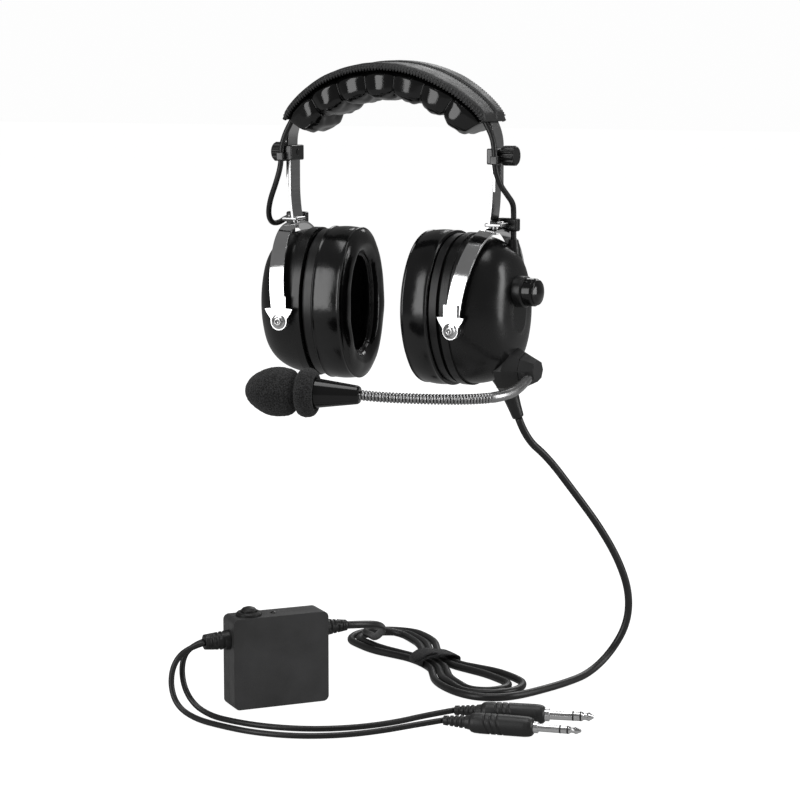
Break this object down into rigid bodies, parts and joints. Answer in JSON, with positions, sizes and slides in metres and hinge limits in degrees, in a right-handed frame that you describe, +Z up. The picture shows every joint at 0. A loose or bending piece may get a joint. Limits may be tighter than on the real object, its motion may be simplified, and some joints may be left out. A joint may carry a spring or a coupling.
{
  "type": "aviation headset",
  "caption": "Over-ear communication headset with sprung padded headband, tilting cups, gooseneck microphone, control box and two plugs on a cord.",
  "frame": {"origin": "underside of the head pad at the crown, where a head carries the headset", "axes": "+X towards the wearer's left ear, -Y forward, +Z up"},
  "size_m": [0.295, 0.304, 0.4432],
  "materials": {
    "spring_steel": "bright nickel-plated spring steel",
    "chrome": "polished chrome plate",
    "dark_metal": "black-plated steel",
    "pin_steel": "turned steel",
    "cover_leather": "matt grained leatherette, whip-stitched edge",
    "pad_vinyl": "glossy soft vinyl over foam",
    "shell_plastic": "black satin-gloss moulding",
    "black_plastic": "black moulded plastic",
    "foam": "open-cell foam",
    "rubber": "soft black rubber",
    "cord_rubber": "smooth black cord jacket",
    "tie_fabric": "hook-and-loop webbing",
    "box_plastic": "fine-textured dark grey moulding",
    "board": "circuit board with lacquer",
    "grip_plastic": "dark grey moulded grip",
    "plug_metal": "nickel-plated contacts with black insulating rings"
  },
  "bodies": {
    "left_yoke": {"left_yoke": "chrome", "left_pivot_brackets": "chrome", "left_cable_grommet": "rubber", "left_cable_tail": "cord_rubber", "cord_drop": "cord_rubber", "cord_hank": "cord_rubber", "cord_tie": "tie_fabric", "box_lead": "cord_rubber", "box_front": "box_plastic", "box_rear": "box_plastic", "box_board": "board", "button_collar": "black_plastic", "box_glands": "rubber", "plug_lead_a": "cord_rubber", "plug_lead_b": "cord_rubber", "plug_a_grip": "grip_plastic", "plug_a_contacts": "plug_metal", "plug_b_grip": "grip_plastic", "plug_b_contacts": "plug_metal"},
    "left_cup": {"left_shell": "shell_plastic", "left_ear_seal": "pad_vinyl", "left_ear_liner": "foam", "left_baffle": "black_plastic", "left_driver": "black_plastic", "left_pivot_pins": "pin_steel", "left_cable_gland": "rubber", "volume_base": "black_plastic", "boom_mount": "black_plastic", "strain_relief": "rubber"},
    "volume_knob": {"volume_knob": "black_plastic"},
    "boom": {"boom_socket": "black_plastic", "boom_gooseneck": "dark_metal", "mic_housing": "shell_plastic", "mic_capsule": "black_plastic", "mic_windscreen": "foam"},
    "left_arm": {"left_arm": "spring_steel", "left_clamp_bracket": "dark_metal", "left_cable_loop": "cord_rubber"},
    "left_clamp_knob": {"left_clamp_knob": "black_plastic"},
    "headband": {"headband_spring": "spring_steel", "headband_pad": "pad_vinyl", "headband_cover": "cover_leather", "crossover_cable": "cord_rubber"},
    "right_arm": {"right_arm": "spring_steel", "right_clamp_bracket": "dark_metal", "right_cable_loop": "cord_rubber"},
    "right_clamp_knob": {"right_clamp_knob": "black_plastic"},
    "right_yoke": {"right_yoke": "chrome", "right_pivot_brackets": "chrome", "right_cable_grommet": "rubber", "right_cable_tail": "cord_rubber"},
    "right_cup": {"right_shell": "shell_plastic", "right_ear_seal": "pad_vinyl", "right_ear_liner": "foam", "right_baffle": "black_plastic", "right_driver": "black_plastic", "right_pivot_pins": "pin_steel", "right_cable_gland": "rubber"},
    "box_button": {"box_button": "rubber"}
  },
  "joints": [
    {"name": "left_cup_tilt", "type": "hinge", "parent": "left_yoke", "child": "left_cup", "pos_m": [0.07203, 0.0007, -0.157], "axis": [0.0872, 0.9962, 0], "range_deg": [-8, 8], "deforming": ["left_cable_tail", "cord_drop"]},
    {"name": "left_yoke_swivel", "type": "hinge", "parent": "left_yoke", "child": "left_arm", "pos_m": [0.08, 0, -0.085], "axis": [0, 0, 1], "range_deg": [-10, 10], "deforming": ["left_cable_loop"]},
    {"name": "left_arm_extend", "type": "slide", "parent": "left_arm", "child": "headband", "axis": [0, 0, 1], "range_m": [0, 0.02]},
    {"name": "right_arm_extend", "type": "slide", "parent": "headband", "child": "right_arm", "axis": [0, 0, -1], "range_m": [0, 0.02], "deforming": ["right_cable_loop"]},
    {"name": "right_yoke_swivel", "type": "hinge", "parent": "right_arm", "child": "right_yoke", "pos_m": [-0.08, 0, -0.085], "axis": [0, 0, 1], "range_deg": [-10, 10]},
    {"name": "right_cup_tilt", "type": "hinge", "parent": "right_yoke", "child": "right_cup", "pos_m": [-0.07203, 0.0007, -0.157], "axis": [0.0872, -0.9962, 0], "range_deg": [-8, 8], "deforming": ["right_cable_tail"]},
    {"name": "left_clamp_turn", "type": "hinge", "parent": "left_arm", "child": "left_clamp_knob", "pos_m": [0.09, 0, -0.038], "axis": [1, 0, 0], "continuous": true},
    {"name": "right_clamp_turn", "type": "hinge", "parent": "right_arm", "child": "right_clamp_knob", "pos_m": [-0.09, 0, -0.038], "axis": [-1, 0, 0], "continuous": true},
    {"name": "volume_turn", "type": "hinge", "parent": "left_cup", "child": "volume_knob", "pos_m": [0.10789, -0.00244, -0.132], "axis": [0.9962, -0.0872, 0], "range_deg": [0, 270]},
    {"name": "boom_swing", "type": "hinge", "parent": "left_cup", "child": "boom", "pos_m": [0.10807, -0.00045, -0.187], "axis": [0.9962, -0.0872, 0], "range_deg": [-60, 15]},
    {"name": "button_press", "type": "slide", "parent": "left_yoke", "child": "box_button", "axis": [0, 0, -1], "range_m": [0, 0.0013], "stiffness_N_per_m": 400, "springref_m": -0.001}
  ]
}
